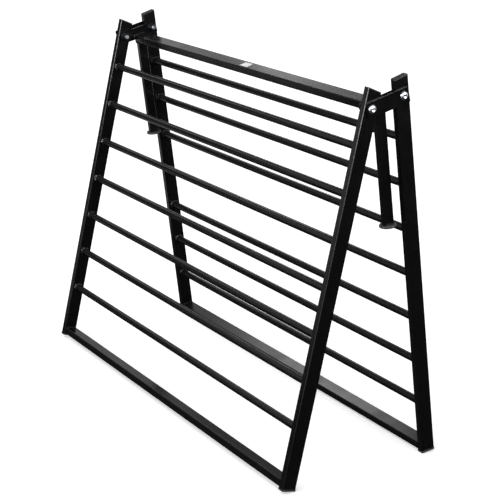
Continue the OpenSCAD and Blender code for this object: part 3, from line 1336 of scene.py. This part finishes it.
@dataclass
class Head(SubAssembly):
    """The head: end plates, top bar, drop legs with their rubber feet, and the label on the bar.

    Sizes are in millimetres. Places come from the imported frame.
    """

    bar_depth_mm: float = 35.5
    bar_thickness_mm: float = 20.5
    bar_drop_mm: float = 6.5
    plate_below_mm: float = 20.0
    tube_radius_mm: float = 2.5
    leg_depth_mm: float = 27.0
    leg_thickness_mm: float = 17.0
    leg_reach_mm: float = 314.0
    pad_radius_mm: float = 21.5
    pad_mm: float = 6.0
    pad_edge_mm: float = 1.6
    sole_middle_mm: float = 3.0
    groove_radii_mm: tuple[float, ...] = (8.0, 14.0)
    groove_mm: float = 2.2
    groove_depth_mm: float = 0.7
    groove_slope_mm: float = 0.5
    pad_flat_mm: float = 5.0
    plug_inset_mm: float = 1.65
    plug_depth_mm: float = 16.0
    plug_root_mm: float = 1.0
    plug_lead_mm: tuple[float, float] = (0.8, 1.0)
    plug_radius_mm: float = 1.0
    plug_step_mm: float = 3.0
    pad_steps: int = 96
    label_mm: tuple[float, float] = (36.0, 21.5)
    label_place_mm: tuple[float, float] = (10.0, -1.3)
    label_radius_mm: float = 1.2
    label_thickness_mm: float = 0.15
    label_sunk_mm: float = 0.05
    label_step_mm: float = 1.5
    label_rows: int = 8
    label_lift_mm: float = 0.9
    label_stuck: float = 0.45
    plate_edge_mm: float = 1.0
    plate_margin_mm: float = 1.0
    weld: WeldBead = WeldBead(leg_mm=3.6)

    @property
    def axes(self) -> Axes:
        """The head's own axes.

        Returns:
            Axes with the origin midway between the pivots, y to the back and z up.
        """
        front, back = Leaf.FRONT.pivot, Leaf.BACK.pivot
        across = unit(back - front)
        return Axes((front + back) / 2, X, across, np.cross(X, across))

    @property
    def leg_down(self) -> Array:
        """Direction down a drop leg, which is parallel to the back rails at rest."""
        return unit(middle("back_rung_7") - middle("back_rung_1"))

    def leg_axes(self, side: Side) -> Axes:
        """Axes of a drop leg: origin on the line of the pivots, z up the leg, y to the back."""
        line = leaning(self.axes.origin, self.leg_down, np.array([0.0, 1.0, 0.0]))
        return line.moved(x=float(middle(f"drop_leg_{side.label}")[0]))

    def welds(self) -> bpy.types.Object:
        """The beads that join the top bar to the inner plates, and the drop legs to the top bar.

        Returns:
            One piece that holds them all.
        """
        shell, head = Shell(), self.axes
        radius, step = self.tube_radius_mm * MM, self.weld.step_mm * MM
        bar_end = float(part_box("top_bar")[1].x)
        middle_z = -(self.bar_drop_mm + self.bar_thickness_mm / 2)
        outline, normals = oblong(self.bar_depth_mm * MM, self.bar_thickness_mm * MM, radius, step=step)
        # The plate ends above the bar's lower face, so the bead leaves that side open
        on_plate = outline[:, 1] > (self.plate_margin_mm - self.plate_below_mm - middle_z) * MM
        first = np.flatnonzero(~on_plate)[-1] + 1
        path, out = (np.roll(a, -first, axis=0)[: on_plate.sum()] for a in (outline, normals))
        bottom = (self.bar_drop_mm + self.bar_thickness_mm) * MM
        lean = self.leg_down @ head.y / -(self.leg_down @ head.z)
        leg = oblong(self.leg_thickness_mm * MM, self.leg_depth_mm * MM, radius, step=step)
        for side in Side:
            place = head.moved(x=bar_end * side.value, z=middle_z * MM)
            face = Axes(place.origin, head.y, head.z, -X * side.value)
            self.weld.lay(shell, face, path, out, phase=0.4 * side.value, closed=False)
            root = head.moved(x=self.leg_axes(side).origin[0], y=lean * bottom, z=-bottom)
            face = Axes(root.origin, X, head.y, -head.z)
            self.weld.lay(shell, face, *leg, phase=0.15 * side.value)
        return shell.piece("head_welds", COAT, self.materials, smooth_deg=WELD_SMOOTH_DEG)

    def leg_foot(self, side: Side) -> bpy.types.Object:
        """The rubber foot of a drop leg: a disc with round edges and two rings pressed in its sole.

        The disc is turned from its profile, and the plug is an oblong carried up from inside it.

        Args:
            side: Which leg.

        Returns:
            The foot.
        """
        radius, top, edge = self.pad_radius_mm, self.pad_mm, self.pad_edge_mm
        slope, wide, deep = self.groove_slope_mm, self.groove_mm, self.groove_depth_mm
        groove = np.array([[0, 0], [slope, deep], [wide - slope, deep], [wide, 0]])
        disc = np.array(
            [
                [self.sole_middle_mm, 0.0],
                *np.concatenate([groove + [near, 0] for near in self.groove_radii_mm]),
                *rounded((radius - edge, edge), edge, -90),
                *rounded((radius - edge, top - edge), edge, 0),
                [radius - self.pad_flat_mm, top],
            ]
        )
        taper, lead = self.plug_lead_mm
        end = top + self.plug_depth_mm
        plug = np.array([[0, top - self.plug_root_mm], [0, end - lead], [-taper, end]])
        width, depth = (v - 2 * self.plug_inset_mm for v in (self.leg_thickness_mm, self.leg_depth_mm))
        corner, step = self.plug_radius_mm * MM, self.plug_step_mm * MM
        outline, normals = oblong(width * MM, depth * MM, corner, step=step)
        place = self.leg_axes(side).moved(z=-self.leg_reach_mm * MM)
        shell = Shell().tube(place.place(turned(disc * MM, self.pad_steps)))
        shell.tube(place.place(carried(outline, normals, plug * MM)))
        return shell.piece(f"leg_foot_{side.label}_moulded", RUBBER, self.materials)

    def label(self) -> bpy.types.Object:
        """The blank label on the top bar, stuck flat but for one corner that has begun to lift.

        An oblong is carried up by the paper's thickness and filled in. Each point rises by the cube
        of how far it lies towards the lifting corner.

        Returns:
            The label.
        """
        width, depth = self.label_mm
        corner, step = self.label_radius_mm * MM, self.label_step_mm * MM
        outline, normals = oblong(width * MM, depth * MM, corner, step=step)
        profile = np.array([[0.0, -self.label_sunk_mm], [0.0, self.label_thickness_mm]])
        rows = carried(outline, normals, profile * MM)
        rows = np.concatenate([rows, shrunk(rows[-1], self.label_rows, 0.0)])
        towards = rows[..., 0] / (width * MM) + rows[..., 1] / (depth * MM)
        lifted = np.clip(towards - self.label_stuck, 0, 1) / (1 - self.label_stuck)
        rows[..., 2] += self.label_lift_mm * MM * lifted**3
        x, y = self.label_place_mm
        place = self.axes.moved(x=x * MM, y=y * MM, z=-self.bar_drop_mm * MM)
        return Shell().tube(place.place(rows)).piece("label", PAPER, self.materials)

    def build(self) -> None:
        """Dresses the head's CAD nodes and adds its plates, welds, rubber feet and label."""
        for node in self.nodes("top_bar") + self.nodes("drop_leg"):
            self.materials.dress(node, COAT)
        for node in self.nodes("plate"):
            self.materials.dress(node, COAT)
            plate = softened(node, f"{node}_rolled", self.plate_edge_mm, self.materials.of(COAT))
            self.add(plate, COAT, node)
        self.add(self.welds(), COAT)
        for side in Side:
            self.materials.dress(f"leg_foot_{side.label}", RUBBER)
            self.add(self.leg_foot(side), RUBBER, f"leg_foot_{side.label}")
        self.add(self.label(), PAPER)


# ---------------------------------------------------------------------------
# Studio
# ---------------------------------------------------------------------------


def hang(lamp: bpy.types.Light, towards: Vector) -> bpy.types.Object:
    """Hangs a lamp at the middle of the scene, out of sight of the gloss.

    Args:
        lamp: The lamp.
        towards: The direction it shines in.

    Returns:
        Its object.
    """
    obj = linked(lamp.name, lamp)
    obj.rotation_euler = towards.to_track_quat("-Z", "Y").to_euler()
    obj.visible_glossy = False
    return obj


@dataclass(frozen=True)
class Softbox:
    """A rectangular lamp: where it stands, what it is aimed at, its size and its power.

    A card stands for it in the gloss.
    """

    name: str
    place: tuple[float, float, float]
    aim: tuple[float, float, float]
    size: tuple[float, float]
    watts: float

    def light(self) -> None:
        """Adds the lamp to the scene, turned so that it shines at its aim."""
        lamp = bpy.data.lights.new(self.name, "AREA")
        lamp.shape = "RECTANGLE"
        lamp.size, lamp.size_y = self.size
        lamp.energy = self.watts
        hung = hang(lamp, Vector(self.aim) - Vector(self.place))
        hung.location = self.place


@dataclass(frozen=True)
class EvenLight:
    """Soft light that falls at the same strength everywhere, as from a wide ceiling.

    Gloss doesn't show it: the softboxes and cards give the gloss what it mirrors.
    """

    name: str
    towards: tuple[float, float, float]
    spread_deg: float
    strength: float

    def light(self) -> None:
        """Adds the light to the scene."""
        lamp = bpy.data.lights.new(self.name, "SUN")
        lamp.angle = math.radians(self.spread_deg)
        lamp.energy = self.strength
        hang(lamp, Vector(self.towards))


@dataclass(frozen=True)
class Card:
    """A flat card or lit strip that stands off the rack and is seen only in its gloss.

    Black gloss takes its tone from what it mirrors, so cards set the tone of each face, as they do
    in a studio. A glow of 1 is white.
    """

    name: str
    centre: tuple[float, float, float]
    facing: tuple[float, float, float]
    size: tuple[float, float]
    glow: float

    def stand(self) -> None:
        """Adds the card to the stage: a rectangle about its centre, square to its facing."""
        out = unit(np.array(self.facing))
        level = abs(out[2]) > 0.9
        across = unit(np.cross([0.0, 1.0, 0.0] if level else [0.0, 0.0, 1.0], out))
        up = np.cross(out, across)
        signs = np.array([[-1, -1], [1, -1], [1, 1], [-1, 1]]) * np.array(self.size) / 2
        corners = np.array(self.centre) + signs @ np.stack([across, up])
        material = bpy.data.materials.new(self.name)
        tree = cleared(material)
        paint = add_node(tree, "ShaderNodeEmission", Strength=self.glow)
        add_node(tree, "ShaderNodeOutputMaterial", {"Surface": paint.outputs[0]})
        card = staged(self.name, corners, material)
        for ray in ("camera", "diffuse", "transmission", "shadow"):
            setattr(card, f"visible_{ray}", False)


def staged(name: str, corners: Array, material: bpy.types.Material) -> bpy.types.Object:
    """Adds a rectangle that belongs to the stage and not to the rack.

    Args:
        name: The object's name.
        corners: Its corners in order, shaped (4, 3).
        material: Its material.

    Returns:
        The new object.
    """
    mesh = bpy.data.meshes.new(name)
    mesh.from_pydata(corners.tolist(), [], [(0, 1, 2, 3)])
    mesh.materials.append(material)
    obj = linked(name, mesh)
    return obj


@dataclass(frozen=True)
class Viewpoint:
    """The camera: where it looks from, turned and rolled as the view needs."""

    azimuth_deg: float = 58.888
    elevation_deg: float = 17.681
    roll_deg: float = -0.85
    distance: float = 4.028
    height: float = 0.395
    aside: float = 0.008
    lens_mm: float = 105.09
    sensor_mm: float = 36.0

    def shoot(self) -> None:
        """Adds the camera and makes it the scene's own.

        It stands at the given angles from a point below the middle of the head, a little aside.
        """
        angles = (self.azimuth_deg, self.elevation_deg, self.roll_deg)
        azimuth, elevation, roll = (math.radians(angle) for angle in angles)
        level = np.array([math.sin(azimuth), -math.cos(azimuth), 0.0])
        back = level * math.cos(elevation) + np.array([0.0, 0.0, math.sin(elevation)])
        right = np.array([math.cos(azimuth), math.sin(azimuth), 0.0])
        up = np.cross(back, right)
        middle_y = (Leaf.FRONT.pivot + Leaf.BACK.pivot)[1] / 2
        target = np.array([0.0, middle_y, self.height]) + right * self.aside
        camera = bpy.data.cameras.new("Camera")
        camera.lens, camera.sensor_width = self.lens_mm, self.sensor_mm
        matrix = np.eye(4)
        matrix[:3, 0] = math.cos(roll) * right + math.sin(roll) * up
        matrix[:3, 1] = math.cos(roll) * up - math.sin(roll) * right
        matrix[:3, 2] = back
        matrix[:3, 3] = target + back * self.distance
        obj = linked("Camera", camera)
        obj.matrix_world = Matrix(matrix.tolist())
        bpy.context.scene.camera = obj


@dataclass
class Studio:
    """Pale floor, white surroundings, soft lamps, grey cards and the camera."""

    floor_half: float = 60.0
    floor_colour: str = "#ededed"
    floor_lift: float = 0.5
    ambient: float = 0.5
    lamps: tuple[EvenLight | Softbox, ...] = (
        EvenLight("ceiling", (0.25, 0.35, -1.0), 60.0, 1.3),
        Softbox("key", (0.6, -3.2, 1.8), (0.2, 0.0, 0.6), (1.8, 1.2), 25.0),
    )
    cards: tuple[Card, ...] = (
        Card("strip_key", (0.6, -3.15, 1.85), (-0.1, 1.0, -0.1), (2.9, 0.9), 24.0),
        Card("strip_bolts", (3.2, -0.6, 2.6), (-0.8, 0.1, -0.6), (2.4, 2.2), 5.0),
        Card("strip_plates", (2.9, 1.2, 2.5), (-0.75, -0.4, -0.5), (2.4, 2.0), 12.0),
        Card("card_floor", (0.6, 0.4, 0.004), (0, 0, 1), (8.0, 8.0), 0.04),
        Card("card_floor_left", (-2.3, 0.0, 0.006), (0, 0, 1), (2.0, 1.8), 0.35),
        Card("card_front_high", (-2.4, -3.5, 2.0), (0.8, 0.6, 0), (2.0, 2.6), 0.33),
        Card("card_front_low", (-2.4, -3.5, 0.35), (0.8, 0.6, 0), (2.0, 0.7), 0.15),
        Card("card_left", (-3.9, -1.5, 1.4), (0.8, 0.6, 0), (2.6, 2.8), 0.08),
        Card("card_back_near", (-3.17, 0.98, 0.8), (0.9, -0.4, 0), (2.0, 1.6), 0.34),
        Card("card_back_far", (-2.49, 2.5, 0.8), (0.9, -0.4, 0), (1.4, 1.6), 0.15),
        Card("card_back_high_near", (-3.21, 1.01, 1.9), (0.9, -0.4, -0.1), (2.1, 0.6), 1.0),
        Card("card_back_high_middle", (-2.79, 1.84, 1.85), (0.9, -0.4, -0.1), (0.8, 1.0), 2.8),
        Card("card_back_high_far", (-2.52, 2.56, 1.9), (0.9, -0.4, -0.1), (1.3, 0.6), 0.65),
        Card("card_back_top", (-2.9, 1.6, 2.8), (0.9, -0.4, -0.1), (3.4, 1.25), 0.12),
        Card("card_right", (3.6, 1.6, 1.1), (-1, 0, 0), (6.0, 2.2), 0.04),
        Card("card_inside", (0.625, 1.4, 1.2), (-1, 0, 0), (2.3, 2.36), 0.02),
        Card("card_ceiling", (0.0, 0.0, 3.4), (0, 0, -1), (7.0, 7.0), 0.15),
    )
    view: Viewpoint = Viewpoint()

    def seen_directly(self, tree: NodeTree) -> Socket:
        """A socket that is 1 for rays from the camera and for those that gloss or glass sends on.

        Args:
            tree: The node tree that it is for.

        Returns:
            The socket.
        """
        rays = add_node(tree, "ShaderNodeLightPath").outputs
        links = {0: rays["Is Camera Ray"], 1: rays["Is Glossy Ray"]}
        glossy = add_node(tree, "ShaderNodeMath", links, operation="MAXIMUM")
        links = {0: glossy.outputs[0], 1: rays["Is Transmission Ray"]}
        return add_node(tree, "ShaderNodeMath", links, operation="MAXIMUM").outputs[0]

    def surround(self) -> None:
        """Makes the world white to look at, and a dimmer even light on the rack."""
        world = bpy.data.worlds.new("Surroundings")
        bpy.context.scene.world = world
        tree = cleared(world)
        seen = self.seen_directly(tree)
        strength = add_node(tree, "ShaderNodeMapRange", {"Value": seen}, To_Min=self.ambient, To_Max=1.0)
        light = add_node(
            tree, "ShaderNodeBackground", {"Strength": strength.outputs["Result"]}, Color=WHITE
        )
        add_node(tree, "ShaderNodeOutputWorld", {"Surface": light.outputs[0]})

    def floor(self) -> None:
        """Lays the floor: pale and matt, lifted to white where it is looked at."""
        material = bpy.data.materials.new("Studio floor")
        tree = cleared(material)
        seen = self.seen_directly(tree)
        matt = add_node(tree, "ShaderNodeBsdfDiffuse", Color=linear(self.floor_colour))
        lift = add_node(tree, "ShaderNodeMapRange", {"Value": seen}, To_Max=self.floor_lift)
        glow = add_node(tree, "ShaderNodeEmission", {"Strength": lift.outputs["Result"]})
        both = add_node(tree, "ShaderNodeAddShader", {0: matt.outputs[0], 1: glow.outputs[0]})
        add_node(tree, "ShaderNodeOutputMaterial", {"Surface": both.outputs[0]})
        corners = np.array([[-1.0, -1.0, 0.0], [1.0, -1.0, 0.0], [1.0, 1.0, 0.0], [-1.0, 1.0, 0.0]])
        staged("floor", corners * self.floor_half, material)

    def build(self) -> None:
        """Sets up the studio."""
        self.surround()
        self.floor()
        for lamp in self.lamps:
            lamp.light()
        for card in self.cards:
            card.stand()
        self.view.shoot()
        bpy.context.scene.view_settings.view_transform = "Standard"


def main() -> None:
    """Builds the studio and every sub-assembly in order."""
    logging.basicConfig(level=logging.INFO, format="%(name)s: %(message)s")
    materials = Materials()
    Studio().build()
    for leaf in Leaf:
        RungFrame(f"{leaf.label}_frame", materials, leaf).build()
    Head("head", materials).build()
    PivotHardware("head", materials).build()


if __name__ == "__main__":
    main()
